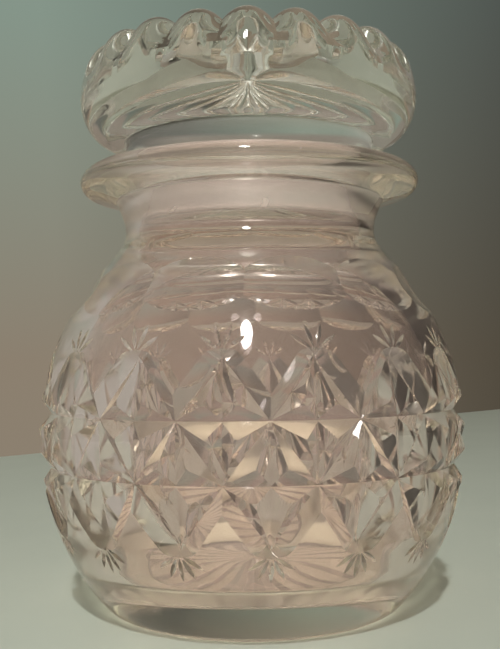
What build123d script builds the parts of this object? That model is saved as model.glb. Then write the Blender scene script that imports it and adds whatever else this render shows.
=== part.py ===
from build123d import *
from math import asin, degrees, sqrt
import os

# A round cut-glass vanity jar for powder: a thick-walled barrel bowl with a
# waisted neck and a rolled lip, and a loose stopper lid of solid glass.
# Millimetres. The origin is the centre of the ring the jar stands on, +Z goes
# up the jar's axis, and -Y is the front.

# ---- bowl, outside ----
BELLY_R = 45.0            # widest outside radius
BELLY_Z = 36.6            # height of the widest place
FOOT_R = 30.1             # radius where the barrel would meet the table
FOOT_ROUND_R = 2.0        # rounding of that edge
SHOULDER_STEP = 3.5       # how far the barrel's top edge stands out from the waist
NECK_WALL = 3.0           # glass thickness at the neck's waist
WAIST_UP = 6.1            # from the barrel's top edge to the waist
NECK_FLARE = 2.0          # how far the neck spreads from the waist to the lip
LIP_UP = 7.2              # from the waist to the lip's underside
LIP_REACH = 7.6           # how far the lip stands out from the neck
LIP_H = 6.4               # height of the lip, underside at the neck to the rim
LIP_EDGE_H = 5.0          # height of the lip's outer edge before it is rounded
LIP_ROUND_R = 2.3         # rounding of the lip's edge, top and bottom

# ---- bowl, inside ----
WALL = 5.2                # glass thickness at the belly
FLOOR_T = 9.0             # thickness of the glass floor
FLOOR_ROUND_R = 10.0      # rounding between the floor and the inner wall
BORE_R = 23.8             # radius of the straight bore in the neck
SHOULDER_ROUND_R = 5.0    # rounding where the hollow closes into the bore
BORE_EDGE_R = 0.8         # rounded edge at the top of the bore

# ---- cuts in the bowl ----
RING_CUTS_UP = (5.3, -6.5)  # heights of the two V grooves from the widest place
RING_CUT_DEPTH = 2.0
RING_CUT_HALF_W = 3.0
FOOT_RING_W = 6.1         # width of the ring the jar stands on, before rounding
FOOT_HOLLOW_DEPTH = 1.0   # depth of the shallow hollow inside that ring

# ---- lid ----
SEAT_PLAY = 0.05          # gap between the lip and the lid that rests on it
PLUG_PLAY = 0.45          # radial play of the plug in the bore
PLUG_LENGTH = 11.2        # how far the plug reaches below the seat
PLUG_EDGE_R = 0.8         # rounding of the plug's bottom edge
SEAT_WIDTH = 3.4          # width of the flat ring outside the plug
COLLAR_H = 6.5            # height of the straight collar above the seat
COLLAR_ROUND_R = 0.8      # rounding between the collar and the knob's underside
KNOB_REACH = 9.55         # how far the knob swells out from the collar
KNOB_LOWER_H = 8.7        # from the collar's top to the widest place
KNOB_UPPER_H = 11.0       # from the widest place to the top's rim
KNOB_UNDER_W = 6.2        # width of the rounded edge between side and flat underside
KNOB_EDGE_W = 6.9         # width of the rounded edge between side and top
TOP_DISH = 3.3            # how far the middle of the top lies below its rim
SCALLOPS = 20             # hollows cut round the knob's top edge
SCALLOP_CUTTER_R = 4.4    # radius of the round cutter that makes one hollow
SCALLOP_DEPTH = 1.5       # how far a hollow reaches into the rounded edge
SCALLOP_LEAN = 38.0       # lean of the cutter away from the jar's axis, degrees

SAME = 0.01               # two lengths closer than this are the same length

# ---- places that follow from the sizes above ----
NECK_R = BORE_R + NECK_WALL
BARREL_HALF_H = BELLY_Z / sqrt(1.0 - (FOOT_R / BELLY_R) ** 2)
BARREL_TOP_R = NECK_R + SHOULDER_STEP
BARREL_TOP_Z = BELLY_Z + BARREL_HALF_H * sqrt(1.0 - (BARREL_TOP_R / BELLY_R) ** 2)
WAIST_Z = BARREL_TOP_Z + WAIST_UP
LIP_ROOT_Z = WAIST_Z + LIP_UP
RIM_Z = LIP_ROOT_Z + LIP_H


def barrel_radius(z, wall=0.0):
    """Radius of the barrel's ellipse at height z, on its outside or moved in by a wall."""
    rise = (z - BELLY_Z) / (BARREL_HALF_H - wall)
    return (BELLY_R - wall) * sqrt(1.0 - rise * rise)


def barrel_side(z_low, z_high, wall=0.0):
    """The barrel's elliptical side between two heights."""
    half_h = BARREL_HALF_H - wall
    start, end = (degrees(asin((z - BELLY_Z) / half_h)) for z in (z_low, z_high))
    return EllipticalCenterArc((0, BELLY_Z), BELLY_R - wall, half_h, start, arc_size=end - start)


def turned(*outline):
    """The solid that a closed outline makes when it turns about the jar's axis."""
    return revolve(Plane.XZ * make_face(Curve() + list(outline)), Axis.Z)


def ring_edges(solid, radius, height):
    """The circular edges of a turned solid at one radius and height."""
    return [edge for edge in solid.edges().filter_by(GeomType.CIRCLE)
            if abs(edge.radius - radius) < SAME and abs(edge.arc_center.Z - height) < SAME]


def outer_bowl():
    """The bowl's outside: foot ring, barrel, waisted neck and rolled lip."""
    lip_root_r = NECK_R + NECK_FLARE
    lip_r = lip_root_r + LIP_REACH
    lip_low_z = RIM_Z - LIP_EDGE_H
    side = barrel_side(0.0, BARREL_TOP_Z)
    waist = ThreePointArc((BARREL_TOP_R, BARREL_TOP_Z), (NECK_R, WAIST_Z), (lip_root_r, LIP_ROOT_Z))
    lip = Polyline((lip_root_r, LIP_ROOT_Z), (lip_r, lip_low_z), (lip_r, RIM_Z), (0, RIM_Z), (0, 0),
                   (FOOT_R, 0))
    bowl = turned(side, waist, lip)
    bowl = fillet(ring_edges(bowl, FOOT_R, 0.0), FOOT_ROUND_R)
    return fillet(ring_edges(bowl, lip_r, RIM_Z) + ring_edges(bowl, lip_r, lip_low_z), LIP_ROUND_R)


def hollow():
    """The space inside the bowl, up through the bore and out of the rim."""
    closes_z = BELLY_Z + (BARREL_HALF_H - WALL) * sqrt(1.0 - (BORE_R / (BELLY_R - WALL)) ** 2)
    floor_r = barrel_radius(FLOOR_T, WALL)
    above_z = RIM_Z + LIP_H
    side = barrel_side(FLOOR_T, closes_z, WALL)
    bore = Polyline((BORE_R, closes_z), (BORE_R, above_z), (0, above_z), (0, FLOOR_T), (floor_r, FLOOR_T))
    space = turned(side, bore)
    space = fillet(ring_edges(space, floor_r, FLOOR_T), FLOOR_ROUND_R)
    return fillet(ring_edges(space, BORE_R, closes_z), SHOULDER_ROUND_R)


def ring_cut(z):
    """A V groove right round the barrel."""
    valley_r = barrel_radius(z) - RING_CUT_DEPTH
    mouth_r = barrel_radius(z) + RING_CUT_DEPTH
    mouth_w = 2 * RING_CUT_HALF_W
    return turned(Polyline((valley_r, z), (mouth_r, z - mouth_w), (mouth_r, z + mouth_w), (valley_r, z)))


def jar_body():
    bowl = outer_bowl() - hollow()
    bowl = fillet(ring_edges(bowl, BORE_R, RIM_Z), BORE_EDGE_R)
    for up in RING_CUTS_UP:
        bowl -= ring_cut(BELLY_Z + up)
    low = (Align.CENTER, Align.CENTER, Align.MIN)
    return bowl - Cylinder(FOOT_R - FOOT_RING_W, FOOT_HOLLOW_DEPTH, align=low)


def scallop_cutters(edge_r, edge_z):
    """Round cutters that hollow the knob's rounded top edge at equal steps."""
    lean = Plane((edge_r, 0, edge_z)).rotated((0, -SCALLOP_LEAN, 0))
    away = Pos(SCALLOP_CUTTER_R - SCALLOP_DEPTH, 0, 0)
    cutter = lean * away * Cylinder(SCALLOP_CUTTER_R, 2 * edge_r)
    return [cutter.rotate(Axis.Z, 360.0 * number / SCALLOPS) for number in range(SCALLOPS)]


def lid():
    """Solid stopper: plug, flat seat ring, collar and a knob with a dished top that swells over the lip."""
    seat_z = RIM_Z + SEAT_PLAY
    plug_z = seat_z - PLUG_LENGTH
    collar_z = seat_z + COLLAR_H
    knob_z = collar_z + KNOB_LOWER_H
    top_z = knob_z + KNOB_UPPER_H
    plug_r = BORE_R - PLUG_PLAY
    collar_r = plug_r + SEAT_WIDTH
    knob_r = collar_r + KNOB_REACH
    under_r = knob_r - KNOB_UNDER_W
    rim_r = knob_r - KNOB_EDGE_W
    dish_z = top_z - TOP_DISH
    foot = Polyline((0, dish_z), (0, plug_z), (plug_r, plug_z), (plug_r, seat_z), (collar_r, seat_z),
                    (collar_r, collar_z), (under_r, collar_z))
    under = EllipticalCenterArc((under_r, knob_z), KNOB_UNDER_W, KNOB_LOWER_H, 270, arc_size=90)
    over = EllipticalCenterArc((rim_r, knob_z), KNOB_EDGE_W, KNOB_UPPER_H, 0, arc_size=90)
    stopper = turned(foot, under, over, Line((rim_r, top_z), (0, dish_z)))
    stopper = fillet(ring_edges(stopper, plug_r, plug_z), PLUG_EDGE_R)
    stopper = fillet(ring_edges(stopper, collar_r, collar_z), COLLAR_ROUND_R)
    diagonal = sqrt(0.5)
    return stopper - scallop_cutters(rim_r + diagonal * KNOB_EDGE_W, knob_z + diagonal * KNOB_UPPER_H)


def main():
    os.makedirs("parts", exist_ok=True)
    export_step(jar_body(), "parts/jar_body.step")
    export_step(lid(), "parts/lid.step")


main()
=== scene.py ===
import math

import bmesh
import bpy
import numpy as np
from mathutils import Matrix, Vector


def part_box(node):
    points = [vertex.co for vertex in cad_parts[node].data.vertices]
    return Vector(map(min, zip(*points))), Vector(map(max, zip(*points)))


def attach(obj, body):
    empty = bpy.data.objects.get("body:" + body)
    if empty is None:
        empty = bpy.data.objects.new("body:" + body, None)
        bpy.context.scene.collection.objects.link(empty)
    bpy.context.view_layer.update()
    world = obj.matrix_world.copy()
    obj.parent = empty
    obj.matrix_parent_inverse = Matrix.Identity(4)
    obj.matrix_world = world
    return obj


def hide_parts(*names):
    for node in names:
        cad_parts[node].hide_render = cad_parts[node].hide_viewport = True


# A cut-glass powder jar and its stopper lid. Sizes are in millimetres on the jar's
# axis: +Z up, -Y to the front, and they become metres only when a mesh is made.

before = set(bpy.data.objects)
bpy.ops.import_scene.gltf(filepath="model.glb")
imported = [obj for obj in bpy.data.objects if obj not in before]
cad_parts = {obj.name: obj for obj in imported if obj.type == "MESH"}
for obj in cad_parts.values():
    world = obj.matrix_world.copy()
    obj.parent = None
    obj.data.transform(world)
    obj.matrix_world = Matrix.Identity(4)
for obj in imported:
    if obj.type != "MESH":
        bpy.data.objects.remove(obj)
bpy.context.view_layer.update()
MM = 0.001
FULL_TURN = 2.0 * math.pi

_, jar_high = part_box("jar_body")
lid_low, lid_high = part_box("lid")

# ---- sizes read from the frame ----
BELLY_R = jar_high.x / MM - 0.02
RIM_Z = jar_high.z / MM
LID_TOP_Z = lid_high.z / MM
PLUG_Z = lid_low.z / MM
KNOB_R = lid_high.x / MM - 0.02

# ---- jar outline ----
BELLY_Z = 36.6
BARREL_HALF_H = 49.24
BARREL_TOP_R = 30.3
NECK_R = 26.8
WAIST_DROP = 13.6          # from the rim down to the neck's waist
WAIST_LOW = (0.5, -2.2)    # out and up from the waist to where the shoulder's slope ends
WAIST_HIGH = (0.2, 2.6)    # and to where the neck starts to flare
LIP_ROOT_R = 28.8
LIP_ROOT_DROP = 6.4
LIP_R = 36.4
LIP_ROUND_R = 2.6
WALL = 5.2
FLOOR_Z = 9.0
FLOOR_ROUND = 10.0
BORE_R = 23.8
FOOT_RING_R = 29.0         # outside of the ring the jar stands on
FOOT_LOW_Z = 1.3           # where the barrel's side starts above the rounded foot
FOOT_CHAMFER = 0.6         # between that ring and the hollow inside it
FOOT_HOLLOW_R = 24.0
FOOT_HOLLOW_Z = 1.0

# ---- cuts in the jar ----
COLUMNS = 16               # diamonds round the barrel
FIRST_COLUMN = 4.2         # turn of the first column from the front, degrees
BAND_Z = (18.6, 30.2, 41.9, 53.6)   # levels where the long cuts cross
LONG_CUT_COLUMNS = 1.5     # columns that a long cut crosses on its way up
CUT_DEPTH = 2.1
CUT_SPREAD = 1.4           # half width of a cut over its depth
CUTTER_LIFT = 1.2          # how far a cutter stands out of the barrel
CUTTER_STEP = 1.1          # about how far apart its sections are
CUT_END_LIFT = 0.12        # how far its two ends lie above the barrel
CUT_END_CURVE = 0.7        # and how it dips from there: 1 is straight, less is rounder
THUMBPRINTS = 12
FIRST_THUMBPRINT = 13.0    # turn of the first hollow from the front, degrees
THUMBPRINT_Z = 66.6
THUMBPRINT_SIZE = (28.0, 10.4, 6.0)   # half axes of the cutter: across, up and out
THUMBPRINT_DEPTH = 1.7
SPRAY_UP = (-54, -18, 18, 54)         # leans of the short cuts at a diamond's upper tip, degrees
SPRAY_DOWN = (-56, -28, 0, 28, 56)    # and at its lower tip
SPRAY_NEAR, SPRAY_FAR = 0.9, 5.2      # from the tip to the two ends of a short cut
SPRAY_DEPTH = 0.75
SPRAY_SPREAD = 0.8
BORE_H = 15.0              # height of the ground part of the bore
BORE_FADE = 5.0            # and the stretch over which it ends
BOWL_FILM = 0.4            # how dusty the bowl's inside is beside the bore
BASE_RAYS = 24
BASE_RAY_DEPTH = 1.5
BASE_RAY_STOP = 9.0        # how steeply a ray ends before the foot ring

# ---- lid outline ----
SEAT_GAP = 0.05
PLUG_R = 23.35
COLLAR_R = 26.75
PLUG_EDGE_R = 0.8
COLLAR_H = 6.5
KNOB_LOWER_H = 8.7
KNOB_UNDER_W = 6.2         # width of the knob's rounded lower edge
KNOB_EDGE_W = 6.9          # width of its rounded top edge
LID_DISH = 3.3             # how far the middle of the top lies below its rim
LID_RAYS = 20
LID_RAY_DEPTH = 2.4
LID_RAY_END = 9.0          # how far the rays run down over the knob's edge

# ---- fineness of the meshes ----
JAR_SOFTNESS, LID_SOFTNESS = 0.45, 0.3   # reach of the rounding over the outline's corners
JAR_ROW, LID_ROW = 2.0, 1.6              # longest step between two rows
JAR_SEGMENTS, LID_SEGMENTS = 288, 400    # columns round the piece
SHARP_ANGLE = 12.0                       # bends sharper than this stay crisp, degrees

# ---- glass ----
JAR_TINT = (0.95, 0.835, 0.805)
JAR_DEPTH_TINT = (0.87, 0.88, 0.77)
JAR_DENSITY = 12.0
JAR_WAVES = 0.15           # strength of the slight waves in the surface
JAR_SATIN = (0.2, 0.2)     # roughness added and clearness lost where the film is full
LID_TINT = (0.935, 0.905, 0.88)
LID_DEPTH_TINT = (0.86, 0.90, 0.82)
LID_DENSITY = 6.0
LID_WAVES = 0.05
LID_SATIN = (0.25, 0.15)
COLLAR_FILM = 0.6          # how ground the lid's collar is beside its plug
GLASS_IOR = 1.52
SMEARED = 0.04             # roughness in the middle of a smear
SMEAR_EDGE = (0.45, 0.75)  # noise where a smear starts and where it is full
SMEAR_NOISE = (90.0, 4.0)  # scale and detail
WAVE_NOISE = (160.0, 1.0)
WAVE_H = 0.1
LAMP_TINT = (0.95, 0.945, 0.90)
LAMP_GRAZE = 0.27          # how strongly aslant glass holds lamplight back

# ---- camera and lamps ----
CAMERA_LENS = 52.7
CAMERA_PLACE = (-0.2, -206.6, 52.6)
CAMERA_PITCH = 2.02        # upwards, degrees
CAMERA_ROLL = -0.7
LAMP_ELEVATION = 45.5
LAMP_LEFTWARDS = 3.2
LAMP_BULB = (1400.0, 45.0, 60.0, 11.0)      # distance, width, height and watts
LAMP_SHADE = (1410.0, 150.0, 330.0, 3.4)
BULB_COLOUR = (1.0, 1.0, 0.97)
SHADE_COLOUR = (1.0, 1.0, 1.0)

# ---- room, as light ----
WALL_LOW = ((0.26, 0.215, 0.16), (0.076, 0.064, 0.045))     # on the left and on the right
WALL_HIGH = ((0.235, 0.30, 0.25), (0.070, 0.078, 0.070))
OVERHEAD = (0.25, 0.22, 0.185)
WINDOW = (0.40, 0.40, 0.36)
DARK_SIDE = (0.02, 0.018, 0.013)
LEFT_TO_RIGHT = (-0.2, 0.28)       # stretches of a direction's X over which one colour turns into another
TO_WINDOW = (-0.45, -0.85)
TO_DARK_SIDE = (0.28, 0.62)
LOW_TO_HIGH = (0.0, 0.34)          # and of its Z
TO_OVERHEAD = (0.355, 0.42)

# ---- table ----
TABLE_PAINT = ((0.50, 0.55, 0.47), (0.56, 0.61, 0.52))
TABLE_NOISE = (25.0, 5.0)  # scale and detail of its unevenness
TABLE_ROUGHNESS = 0.45
TABLE_HEADING = 46.5       # turn of its far edge, degrees
TABLE_SPAN = (-700.0, 1700.0)
TABLE_REACH = (-1200.0, 323.0)
TABLE_THICK = 30.0
TABLE_EDGE_W = 4.0         # width of its rounded edges


# ---------------------------------------------------------------- outlines

STEP = 0.25                # spacing of an outline's points before it is thinned


def straight(start, end):
    """Points along a straight stretch of an outline, its end left out."""
    start, end = np.array(start, float), np.array(end, float)
    count = max(1, round(np.linalg.norm(end - start) / STEP))
    return start + (end - start) * np.arange(count)[:, None] / count


def arc(centre, half_r, half_z, start, end):
    """Points along an elliptical stretch between two angles in degrees, its end left out."""
    sweep = math.radians(end - start)
    count = max(4, round(abs(sweep) * max(half_r, half_z) / STEP))
    angle = math.radians(start) + sweep * np.arange(count) / count
    return np.column_stack((centre[0] + half_r * np.cos(angle), centre[1] + half_z * np.sin(angle)))


def softened(points, reach):
    """The outline with its corners rounded over about this reach, its two ends kept."""
    half = int(3 * reach / STEP)
    weight = np.exp(-0.5 * (np.arange(-half, half + 1) * STEP / reach) ** 2)
    weight /= weight.sum()
    before = 2 * points[0] - points[half:0:-1]
    after = 2 * points[-1] - points[-2:-half - 2:-1]
    padded = np.vstack((before, points, after))
    return np.column_stack([np.convolve(padded[:, axis], weight, "valid") for axis in (0, 1)])


def thinned(points, longest, turn=5.0):
    """The outline with only the points that its bends need, and none further apart than longest."""
    kept = [0]
    step = np.diff(points, axis=0)
    heading = np.unwrap(np.arctan2(step[:, 1], step[:, 0]))
    run = np.concatenate(([0.0], np.cumsum(np.linalg.norm(step, axis=1))))
    for here in range(1, len(points) - 1):
        bent = abs(heading[here] - heading[kept[-1]]) > math.radians(turn)
        if bent or run[here] - run[kept[-1]] > longest:
            kept.append(here)
    return points[kept + [len(points) - 1]]


def barrel_r(z, wall=0.0):
    """Radius of the barrel's ellipse at height z."""
    return (BELLY_R - wall) * np.sqrt(1.0 - ((z - BELLY_Z) / (BARREL_HALF_H - wall)) ** 2)


def barrel_angle(z, wall=0.0):
    """Where height z lies on the barrel's ellipse, as an angle in degrees."""
    return math.degrees(math.asin((z - BELLY_Z) / (BARREL_HALF_H - wall)))


def jar_outline():
    """The jar's half section, from the middle of the foot round to the middle of the floor."""
    top_z = BELLY_Z + BARREL_HALF_H * math.sqrt(1.0 - (BARREL_TOP_R / BELLY_R) ** 2)
    waist_z = RIM_Z - WAIST_DROP
    root_z = RIM_Z - LIP_ROOT_DROP
    bead_z = RIM_Z - LIP_ROUND_R
    bead_r = LIP_R - LIP_ROUND_R
    bore_end_z = BELLY_Z + (BARREL_HALF_H - WALL) * math.sqrt(1.0 - (BORE_R / (BELLY_R - WALL)) ** 2)
    floor_r = barrel_r(FLOOR_Z + 0.6 * FLOOR_ROUND, WALL) - FLOOR_ROUND
    inner_low_z = FLOOR_Z + FLOOR_ROUND
    foot_ring_r = FOOT_HOLLOW_R + FOOT_CHAMFER
    low_bend = (NECK_R + WAIST_LOW[0], waist_z + WAIST_LOW[1])
    high_bend = (NECK_R + WAIST_HIGH[0], waist_z + WAIST_HIGH[1])
    floor_bend = (floor_r + 0.75 * FLOOR_ROUND, FLOOR_Z + 2.6)
    return np.vstack((
        straight((0, FOOT_HOLLOW_Z), (FOOT_HOLLOW_R, FOOT_HOLLOW_Z)),
        straight((FOOT_HOLLOW_R, FOOT_HOLLOW_Z), (foot_ring_r, 0)),
        straight((foot_ring_r, 0), (FOOT_RING_R, 0)),
        straight((FOOT_RING_R, 0), (barrel_r(FOOT_LOW_Z), FOOT_LOW_Z)),
        arc((0, BELLY_Z), BELLY_R, BARREL_HALF_H, barrel_angle(FOOT_LOW_Z), barrel_angle(top_z)),
        straight((BARREL_TOP_R, top_z), low_bend),
        straight(low_bend, (NECK_R, waist_z)),
        straight((NECK_R, waist_z), high_bend),
        straight(high_bend, (LIP_ROOT_R, root_z)),
        straight((LIP_ROOT_R, root_z), (bead_r + 0.4, bead_z - LIP_ROUND_R)),
        arc((bead_r, bead_z), LIP_ROUND_R, LIP_ROUND_R, -80, 90),
        straight((bead_r, RIM_Z), (BORE_R, RIM_Z)),
        straight((BORE_R, RIM_Z), (BORE_R, bore_end_z + 1.0)),
        arc((0, BELLY_Z), BELLY_R - WALL, BARREL_HALF_H - WALL, barrel_angle(bore_end_z, WALL),
            barrel_angle(inner_low_z, WALL)),
        straight((barrel_r(inner_low_z, WALL), inner_low_z), floor_bend),
        straight(floor_bend, (floor_r, FLOOR_Z)),
        straight((floor_r, FLOOR_Z), (0, FLOOR_Z)),
        np.array([[0, FLOOR_Z]]),
    ))


def lid_outline():
    """The lid's half section, from the middle of the plug's end round to the middle of the dished top."""
    seat_z = RIM_Z + SEAT_GAP
    under_z = seat_z + COLLAR_H
    knob_z = under_z + KNOB_LOWER_H
    flat_r = KNOB_R - KNOB_EDGE_W
    under_r = KNOB_R - KNOB_UNDER_W
    plug_edge = (PLUG_R - PLUG_EDGE_R, PLUG_Z + PLUG_EDGE_R)
    return np.vstack((
        straight((0, PLUG_Z), (PLUG_R - PLUG_EDGE_R, PLUG_Z)),
        arc(plug_edge, PLUG_EDGE_R, PLUG_EDGE_R, -90, 0),
        straight((PLUG_R, PLUG_Z + PLUG_EDGE_R), (PLUG_R, seat_z)),
        straight((PLUG_R, seat_z), (COLLAR_R, seat_z)),
        straight((COLLAR_R, seat_z), (COLLAR_R, under_z)),
        straight((COLLAR_R, under_z), (under_r, under_z)),
        arc((under_r, knob_z), KNOB_UNDER_W, KNOB_LOWER_H, -90, 0),
        arc((flat_r, knob_z), KNOB_EDGE_W, LID_TOP_Z - knob_z, 0, 90),
        straight((flat_r, LID_TOP_Z), (0, LID_TOP_Z - LID_DISH)),
        np.array([[0, LID_TOP_Z - LID_DISH]]),
    ))


# ---------------------------------------------------------------- meshes

def new_piece(name, points, faces):
    """A mesh object from points in millimetres."""
    mesh = bpy.data.meshes.new(name)
    mesh.from_pydata((np.asarray(points) * MM).tolist(), [], faces)
    mesh.validate()
    piece = bpy.data.objects.new(name, mesh)
    bpy.context.scene.collection.objects.link(piece)
    return piece


def around(radius, height, angle):
    """The point at this radius, height and turn from the front."""
    return np.stack((radius * np.sin(angle), -radius * np.cos(angle), height + 0 * angle), -1)


def turned(name, outline, columns, groove=None):
    """A closed piece of revolution.

    groove(rows, angle), where there is one, gives each row's depth and each column's share of it.
    """
    angle = FULL_TURN * np.arange(columns) / columns
    rows = outline[1:-1]
    radius = np.repeat(rows[:, :1], columns, 1)
    height = np.repeat(rows[:, 1:], columns, 1)
    if groove:
        depth, share = groove(rows, angle)
        slope = np.gradient(rows, axis=0)
        slope /= np.linalg.norm(slope, axis=1)[:, None]
        sunk = depth[:, None] * share[None, :]
        radius = radius - slope[:, 1:] * sunk
        height = height + slope[:, :1] * sunk
    points = around(radius, height, angle[None, :]).reshape(-1, 3)
    first, last = len(points), len(points) + 1
    points = np.vstack((points, [[0, 0, outline[0, 1]], [0, 0, outline[-1, 1]]]))
    faces = []
    for row in range(len(rows) - 1):
        low, high = row * columns, (row + 1) * columns
        for here in range(columns):
            after = (here + 1) % columns
            faces.append((low + here, low + after, high + after, high + here))
    end = (len(rows) - 1) * columns
    for here in range(columns):
        after = (here + 1) % columns
        faces.append((first, after, here))
        faces.append((last, end + here, end + after))
    return new_piece(name, points, faces)


def off_ray(angle, rays):
    """How far each column is from the middle of its ray: 0 in the middle, 1 halfway to the next."""
    pitch = FULL_TURN / rays
    return np.abs((angle + pitch / 2) % pitch - pitch / 2) / (pitch / 2)


def base_star(rows, angle):
    """The star under the foot: rays that deepen outwards and stop short of the foot ring."""
    under = (rows[:, 1] < FOOT_HOLLOW_Z + 0.1) & (rows[:, 0] < FOOT_HOLLOW_R)
    reach = rows[:, 0] / FOOT_HOLLOW_R
    depth = BASE_RAY_DEPTH * np.minimum(reach, (1.0 - reach) * BASE_RAY_STOP).clip(0.0)
    return np.where(under, depth, 0.0), 1.0 - off_ray(angle, BASE_RAYS)


def lid_star(rows, angle):
    """The lid's star: round-backed sectors between valleys that deepen outwards and run over the edge."""
    knob = np.arange(len(rows)) > np.argmax(rows[:, 0])
    flat_r = KNOB_R - KNOB_EDGE_W
    outward = (rows[:, 0] / flat_r).clip(0.0, 1.0)
    drop = np.where(rows[:, 0] > flat_r, (LID_TOP_Z - rows[:, 1]) / LID_RAY_END, 0.0)
    depth = LID_RAY_DEPTH * outward * (1.0 - drop ** 2).clip(0.0)
    return np.where(knob, depth, 0.0), off_ray(angle, LID_RAYS) ** 2


# ---------------------------------------------------------------- cut glass

def on_barrel(angle, z):
    """Places on the barrel and the directions that point straight out of it there."""
    place = around(barrel_r(z), z, angle)
    out = place * np.array([BELLY_R ** -2, BELLY_R ** -2, BARREL_HALF_H ** -2])
    out[..., 2] -= BELLY_Z * BARREL_HALF_H ** -2
    return place, out / np.linalg.norm(out, axis=-1, keepdims=True)


def wheel_cut(start, end, depth, spread=CUT_SPREAD, run_out=2.6, beyond=1.0):
    """A V-shaped cutter between two (angle, height) places on the barrel, shallow at its two ends."""
    (a0, z0), (a1, z1) = start, end
    ends, _ = on_barrel(np.array([a0, a1]), np.array([z0, z1]))
    length = np.linalg.norm(ends[1] - ends[0]) + 2 * beyond
    count = max(4, int(length / CUTTER_STEP))
    along = np.linspace(-beyond, length - beyond, count + 1)
    share = along / (length - 2 * beyond)
    place, out = on_barrel(a0 + (a1 - a0) * share, z0 + (z1 - z0) * share)
    ahead = np.gradient(place, axis=0)
    across = np.cross(out, ahead)
    across /= np.linalg.norm(across, axis=1)[:, None]
    inside = np.minimum(along + beyond, length - beyond - along)
    sunk = depth * np.minimum(1.0, inside / run_out) ** CUT_END_CURVE - CUT_END_LIFT
    sunk = sunk[:, None]
    half_w = (sunk + CUTTER_LIFT) * spread
    valley = place - out * sunk
    left = place + out * CUTTER_LIFT - across * half_w
    right = place + out * CUTTER_LIFT + across * half_w
    points = np.stack((valley, left, right), 1).reshape(-1, 3)
    faces = [(0, 1, 2)]
    for step in range(count):
        here, after = 3 * step, 3 * step + 3
        faces += [(here, after, after + 1, here + 1), (here + 1, after + 1, after + 2, here + 2),
                  (here + 2, after + 2, after, here)]
    faces.append((3 * count, 3 * count + 2, 3 * count + 1))
    return points, faces


def ring_wheel(z, depth, columns):
    """A V-shaped cutter that goes right round the barrel."""
    angle = FULL_TURN * np.arange(columns) / columns
    place, out = on_barrel(angle, np.full(columns, z))
    up = np.array([0.0, 0.0, 1.0])
    half_w = (depth + CUTTER_LIFT) * CUT_SPREAD
    mouth = place + out * CUTTER_LIFT
    points = np.stack((place - out * depth, mouth - up * half_w, mouth + up * half_w), 1).reshape(-1, 3)
    faces = []
    for here in range(columns):
        a, b = 3 * here, 3 * ((here + 1) % columns)
        faces += [(a, a + 1, b + 1, b), (a + 1, a + 2, b + 2, b + 1), (a + 2, a, b, b + 2)]
    return points, faces


def scoop(angle, z, width, height, thick, depth):
    """A flat ellipsoid that leaves an oval hollow when it is cut out of the barrel."""
    place, out = on_barrel(np.array([angle]), np.array([z]))
    place, out = place[0], out[0]
    side = np.array([math.cos(angle), math.sin(angle), 0.0])
    uphill = np.cross(out, side)
    rings, around_count = 48, 96
    lean = np.pi * np.arange(1, rings) / rings
    turn = FULL_TURN * np.arange(around_count) / around_count
    u = np.sin(lean)[:, None] * np.cos(turn)[None, :]
    v = np.sin(lean)[:, None] * np.sin(turn)[None, :]
    w = np.cos(lean)[:, None] + 0 * turn[None, :]
    centre = place + out * (thick - depth)
    shell = (centre + u[..., None] * side * width + v[..., None] * uphill * height
             + w[..., None] * out * thick).reshape(-1, 3)
    top, bottom = centre + out * thick, centre - out * thick
    points = np.vstack((shell, top, bottom))
    faces = []
    for ring in range(rings - 2):
        for step in range(around_count):
            after = (step + 1) % around_count
            a, b = ring * around_count, (ring + 1) * around_count
            faces.append((a + step, b + step, b + after, a + after))
    last = (rings - 2) * around_count
    for step in range(around_count):
        after = (step + 1) % around_count
        faces += [(len(shell), step, after), (len(shell) + 1, last + after, last + step)]
    return points, faces


def cut(piece, cutters):
    """Takes a set of cutters that don't touch each other out of a piece."""
    points, faces, start = [], [], 0
    for some_points, some_faces in cutters:
        points.append(some_points)
        faces += [tuple(start + corner for corner in face) for face in some_faces]
        start += len(some_points)
    tool = new_piece("cutter", np.vstack(points), faces)
    outward(tool)
    taking = piece.modifiers.new("cut", "BOOLEAN")
    taking.operation, taking.solver, taking.object = "DIFFERENCE", "MANIFOLD", tool
    apply_modifiers(piece)
    bpy.data.objects.remove(tool)


def outward(piece):
    """Turns every face of a closed mesh outwards."""
    work = bmesh.new()
    work.from_mesh(piece.data)
    bmesh.ops.recalc_face_normals(work, faces=work.faces)
    work.to_mesh(piece.data)
    work.free()


def apply_modifiers(piece):
    """Makes the piece's modifiers part of its mesh."""
    shown = piece.evaluated_get(bpy.context.evaluated_depsgraph_get())
    made = bpy.data.meshes.new_from_object(shown)
    piece.modifiers.clear()
    old, piece.data = piece.data, made
    bpy.data.meshes.remove(old)


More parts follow.
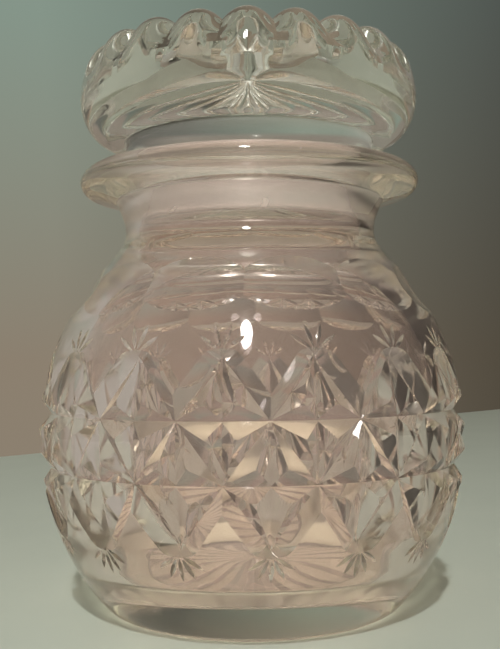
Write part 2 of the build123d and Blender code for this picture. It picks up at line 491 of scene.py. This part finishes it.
def cut_barrel(jar):
    """The jar's cutting: crossed, level and upright mitres, sprays at the tips, and thumbprints."""
    column = FULL_TURN / COLUMNS
    first = math.radians(FIRST_COLUMN)
    low_z, lower_z, upper_z, high_z = BAND_Z
    turns = [first + column * number for number in range(COLUMNS)]
    for columns in (-LONG_CUT_COLUMNS, LONG_CUT_COLUMNS):
        cut(jar, [wheel_cut((turn, low_z), (turn + columns * column, high_z), CUT_DEPTH)
                  for turn in turns])
    cut(jar, [ring_wheel(z, CUT_DEPTH, JAR_SEGMENTS) for z in (lower_z, upper_z)])
    cut(jar, [wheel_cut((turn, low_z), (turn, upper_z), CUT_DEPTH) for turn in turns])
    cut(jar, [wheel_cut((turn + column / 2, lower_z), (turn + column / 2, high_z), CUT_DEPTH)
              for turn in turns])
    for lean in SPRAY_UP:
        cut(jar, [spray_cut(turn + column / 2, high_z, lean) for turn in turns])
    for lean in SPRAY_DOWN:
        cut(jar, [spray_cut(turn, low_z, 180 + lean) for turn in turns])
    first_scoop = math.radians(FIRST_THUMBPRINT)
    scoops = [scoop(first_scoop + FULL_TURN * number / THUMBPRINTS, THUMBPRINT_Z, *THUMBPRINT_SIZE,
                    THUMBPRINT_DEPTH) for number in range(THUMBPRINTS)]
    cut(jar, scoops[::2])
    cut(jar, scoops[1::2])


def spray_cut(turn, z, lean):
    """One short cut of the sprays at a diamond's tip, leaning from straight up."""
    radius = barrel_r(z)
    sideways, upwards = math.sin(math.radians(lean)), math.cos(math.radians(lean))
    start = (turn + SPRAY_NEAR * sideways / radius, z + SPRAY_NEAR * upwards)
    end = (turn + SPRAY_FAR * sideways / radius, z + SPRAY_FAR * upwards)
    return wheel_cut(start, end, SPRAY_DEPTH, spread=SPRAY_SPREAD, run_out=2.0, beyond=0.4)


def radius_and_height(piece):
    """Each vertex's radius and height in millimetres."""
    place = np.empty(3 * len(piece.data.vertices), np.float32)
    piece.data.vertices.foreach_get("co", place)
    place = place.reshape(-1, 3) / MM
    return np.hypot(place[:, 0], place[:, 1]), place[:, 2]


def mark(piece, film):
    """Gives the piece's vertices their share of film, which the glass reads."""
    layer = piece.data.attributes.new("film", "FLOAT", "POINT")
    layer.data.foreach_set("value", film.astype(np.float32))


def mark_jar(jar):
    """Marks the bowl's dusty inside and, fully, its ground bore and the star under the foot."""
    radius, height = radius_and_height(jar)
    middle = 0.5 * WALL
    inside = (radius / (BELLY_R - middle)) ** 2 + ((height - BELLY_Z) / (BARREL_HALF_H - middle)) ** 2
    bowl = (inside < 0.94) & (height > 0.6 * FLOOR_Z)
    bore = (radius < BORE_R + 0.3) & (height > RIM_Z - BORE_H) & (height < RIM_Z - 0.6)
    fade = ((height - RIM_Z + BORE_H) / BORE_FADE).clip(0.0, 1.0)
    film = np.where(bore, np.maximum(fade, BOWL_FILM), np.where(bowl, BOWL_FILM, 0.0))
    star_top_z = FOOT_HOLLOW_Z + BASE_RAY_DEPTH + 0.2
    base = (radius < FOOT_HOLLOW_R - 0.3) & (height > 0.5) & (height < star_top_z)
    mark(jar, np.where(base, 1.0, film))


def mark_lid(lid):
    """Marks the ground outside of the lid's plug and, less finely ground, its collar."""
    radius, height = radius_and_height(lid)
    outside = (radius > PLUG_R - 0.3) & (height < RIM_Z + COLLAR_H - 0.5)
    mark(lid, np.where(outside, np.where(height < RIM_Z, 1.0, COLLAR_FILM), 0.0))


def shaded(piece, sharp_angle):
    """Smooth shading that keeps every cut edge crisp."""
    for face in piece.data.polygons:
        face.use_smooth = True
    piece.data.set_sharp_from_angle(angle=math.radians(sharp_angle))


# ---------------------------------------------------------------- materials

def new_material(name):
    material = bpy.data.materials.new(name)
    material.use_nodes = True
    nodes, links = material.node_tree.nodes, material.node_tree.links
    return material, nodes, links, nodes["Principled BSDF"]


def noise(nodes, links, scale, detail):
    """A noise texture fixed to the piece."""
    place = nodes.new("ShaderNodeTexCoord")
    texture = nodes.new("ShaderNodeTexNoise")
    texture.inputs["Scale"].default_value = scale
    texture.inputs["Detail"].default_value = detail
    links.new(place.outputs["Object"], texture.inputs["Vector"])
    return texture.outputs["Fac"]


def scaled(nodes, links, socket, factor, added):
    """A value times a factor, plus a number or another value."""
    sum_of = nodes.new("ShaderNodeMath")
    sum_of.operation = "MULTIPLY_ADD"
    links.new(socket, sum_of.inputs[0])
    sum_of.inputs[1].default_value = factor
    if isinstance(added, float):
        sum_of.inputs[2].default_value = added
    else:
        links.new(added, sum_of.inputs[2])
    return sum_of.outputs["Value"]


def product(nodes, links, first, second):
    """Two values multiplied."""
    times = nodes.new("ShaderNodeMath")
    times.operation = "MULTIPLY"
    links.new(first, times.inputs[0])
    links.new(second, times.inputs[1])
    return times.outputs["Value"]


def blend_share(nodes, links, socket, start, end):
    """A 0 to 1 share that runs with a value from start to end."""
    share = nodes.new("ShaderNodeMapRange")
    share.inputs["From Min"].default_value = start
    share.inputs["From Max"].default_value = end
    links.new(socket, share.inputs["Value"])
    return share.outputs["Result"]


def blended(nodes, links, share, first, second):
    """A mix of two colours, each one either a socket or a plain colour."""
    mix = nodes.new("ShaderNodeMix")
    mix.data_type = "RGBA"
    links.new(share, mix.inputs["Factor"])
    for name, colour in (("A", first), ("B", second)):
        if isinstance(colour, tuple):
            mix.inputs[name].default_value = (*colour, 1.0)
        else:
            links.new(colour, mix.inputs[name])
    return mix.outputs["Result"]


def glass(name, tint, depth_tint, density, waves, satin):
    """Polished glass, tinted by its depth, with faint smears and waves, and satin where it has film."""
    material, nodes, links, shader = new_material(name)
    shader.inputs["Base Color"].default_value = (*tint, 1.0)
    shader.inputs["IOR"].default_value = GLASS_IOR
    film = nodes.new("ShaderNodeAttribute")
    film.attribute_name = "film"
    share = film.outputs["Fac"]
    smears = nodes.new("ShaderNodeMapRange")
    smears.inputs["From Min"].default_value = SMEAR_EDGE[0]
    smears.inputs["From Max"].default_value = SMEAR_EDGE[1]
    smears.inputs["To Max"].default_value = SMEARED
    links.new(noise(nodes, links, *SMEAR_NOISE), smears.inputs["Value"])
    rough = scaled(nodes, links, product(nodes, links, share, share), satin[0], smears.outputs["Result"])
    links.new(rough, shader.inputs["Roughness"])
    links.new(scaled(nodes, links, share, -satin[1], 1.0), shader.inputs["Transmission Weight"])
    bump = nodes.new("ShaderNodeBump")
    bump.inputs["Strength"].default_value = waves
    bump.inputs["Distance"].default_value = WAVE_H * MM
    links.new(noise(nodes, links, *WAVE_NOISE), bump.inputs["Height"])
    links.new(bump.outputs["Normal"], shader.inputs["Normal"])
    let_lamps_through(nodes, links, shader)
    inside = nodes.new("ShaderNodeVolumeAbsorption")
    inside.inputs["Color"].default_value = (*depth_tint, 1.0)
    inside.inputs["Density"].default_value = density
    links.new(inside.outputs["Volume"], nodes["Material Output"].inputs["Volume"])
    return material


def let_lamps_through(nodes, links, shader):
    """Lets lamplight reach the table through the glass, least where it meets the glass aslant."""
    path = nodes.new("ShaderNodeLightPath")
    aslant = nodes.new("ShaderNodeLayerWeight")
    aslant.inputs["Blend"].default_value = LAMP_GRAZE
    straight_on = scaled(nodes, links, aslant.outputs["Facing"], -1.0, 1.0)
    clear = nodes.new("ShaderNodeBsdfTransparent")
    clear.inputs["Color"].default_value = (*LAMP_TINT, 1.0)
    either = nodes.new("ShaderNodeMixShader")
    links.new(product(nodes, links, path.outputs["Is Shadow Ray"], straight_on), either.inputs["Fac"])
    links.new(shader.outputs["BSDF"], either.inputs[1])
    links.new(clear.outputs["BSDF"], either.inputs[2])
    links.new(either.outputs["Shader"], nodes["Material Output"].inputs["Surface"])


def table_material():
    """Pale painted tabletop, slightly uneven and softly glossy."""
    material, nodes, links, shader = new_material("table_paint")
    paint = blended(nodes, links, noise(nodes, links, *TABLE_NOISE), *TABLE_PAINT)
    links.new(paint, shader.inputs["Base Color"])
    shader.inputs["Roughness"].default_value = TABLE_ROUGHNESS
    return material


# ---------------------------------------------------------------- scene

def add_camera():
    """The camera, close in front of the jar and a little below half its height."""
    data = bpy.data.cameras.new("camera")
    data.lens = CAMERA_LENS
    camera = bpy.data.objects.new("camera", data)
    bpy.context.scene.collection.objects.link(camera)
    pitch, roll = math.radians(90 + CAMERA_PITCH), math.radians(CAMERA_ROLL)
    camera.matrix_world = (Matrix.Translation([MM * place for place in CAMERA_PLACE])
                           @ Matrix.Rotation(pitch, 4, "X") @ Matrix.Rotation(roll, 4, "Z"))
    bpy.context.scene.camera = camera


def add_world():
    """A plain room: walls paler to the left and warmer low down, a window far left, the far right dark."""
    world = bpy.data.worlds.new("room")
    bpy.context.scene.world = world
    world.use_nodes = True
    nodes, links = world.node_tree.nodes, world.node_tree.links
    place = nodes.new("ShaderNodeTexCoord")
    along = nodes.new("ShaderNodeSeparateXYZ")
    links.new(place.outputs["Generated"], along.inputs["Vector"])
    sideways, upwards = along.outputs["X"], along.outputs["Z"]
    rightwards = blend_share(nodes, links, sideways, *LEFT_TO_RIGHT)
    low = blended(nodes, links, rightwards, *WALL_LOW)
    high = blended(nodes, links, rightwards, *WALL_HIGH)
    room = blended(nodes, links, blend_share(nodes, links, upwards, *LOW_TO_HIGH), low, high)
    room = blended(nodes, links, blend_share(nodes, links, upwards, *TO_OVERHEAD), room, OVERHEAD)
    room = blended(nodes, links, blend_share(nodes, links, sideways, *TO_WINDOW), room, WINDOW)
    room = blended(nodes, links, blend_share(nodes, links, sideways, *TO_DARK_SIDE), room, DARK_SIDE)
    links.new(room, nodes["Background"].inputs["Color"])


def add_lamp(name, distance, width, height, power, colour):
    """An oval lamp in front of the jar, high up and a little to the left, aimed at the jar."""
    data = bpy.data.lights.new(name, "AREA")
    data.shape = "ELLIPSE"
    data.size, data.size_y = width * MM, height * MM
    data.energy = power
    data.color = colour
    lamp = bpy.data.objects.new(name, data)
    bpy.context.scene.collection.objects.link(lamp)
    up, turn = math.radians(LAMP_ELEVATION), math.radians(LAMP_LEFTWARDS)
    towards = Vector((-math.sin(turn) * math.cos(up), -math.cos(turn) * math.cos(up), math.sin(up)))
    lamp.location = towards * distance * MM + Vector((0, 0, BELLY_Z * MM))
    lamp.rotation_mode = "QUATERNION"
    lamp.rotation_quaternion = towards.to_track_quat("Z", "Y")


def add_table():
    """The tabletop: a thick slab whose far edge runs aslant behind the jar."""
    heading = math.radians(TABLE_HEADING)
    along = np.array([math.cos(heading), math.sin(heading), 0.0])
    away = np.array([-math.sin(heading), math.cos(heading), 0.0])
    (low, high), (near, far) = TABLE_SPAN, TABLE_REACH
    points = [along * u + away * v + np.array([0, 0, z])
              for z in (-TABLE_THICK, 0.0) for u, v in ((low, near), (high, near), (high, far), (low, far))]
    faces = [(3, 2, 1, 0), (4, 5, 6, 7), (0, 1, 5, 4), (1, 2, 6, 5), (2, 3, 7, 6), (3, 0, 4, 7)]
    table = new_piece("table", points, faces)
    edge = table.modifiers.new("edge", "BEVEL")
    edge.width, edge.segments = TABLE_EDGE_W * MM, 4
    table.data.materials.append(table_material())


def set_render():
    """Enough light bounces for thick cut glass."""
    cycles = bpy.context.scene.cycles
    cycles.max_bounces = 32
    cycles.transmission_bounces = 32
    cycles.glossy_bounces = 16
    cycles.diffuse_bounces = 4
    cycles.transparent_max_bounces = 32
    cycles.sample_clamp_indirect = 6.0
    cycles.blur_glossy = 0.3
    bpy.context.scene.view_settings.view_transform = "Standard"


def add_jar():
    """The cut jar in place of its plain CAD solid."""
    outline = thinned(softened(jar_outline(), JAR_SOFTNESS), JAR_ROW)
    jar = turned("cut_jar", outline, JAR_SEGMENTS, base_star)
    outward(jar)
    cut_barrel(jar)
    mark_jar(jar)
    shaded(jar, SHARP_ANGLE)
    jar.data.materials.clear()
    jar.data.materials.append(glass("jar_glass", JAR_TINT, JAR_DEPTH_TINT, JAR_DENSITY, JAR_WAVES, JAR_SATIN))
    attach(jar, "jar")
    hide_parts("jar_body")


def add_lid():
    """The star-cut lid in place of its plain CAD solid."""
    outline = thinned(softened(lid_outline(), LID_SOFTNESS), LID_ROW)
    lid = turned("stopper", outline, LID_SEGMENTS, lid_star)
    outward(lid)
    mark_lid(lid)
    shaded(lid, SHARP_ANGLE)
    lid.data.materials.append(glass("lid_glass", LID_TINT, LID_DEPTH_TINT, LID_DENSITY, LID_WAVES, LID_SATIN))
    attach(lid, "lid")
    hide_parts("lid")


def main():
    add_camera()
    add_world()
    add_lamp("lamp_bulb", *LAMP_BULB, BULB_COLOUR)
    add_lamp("lamp_shade", *LAMP_SHADE, SHADE_COLOUR)
    add_table()
    add_jar()
    add_lid()
    set_render()


main()
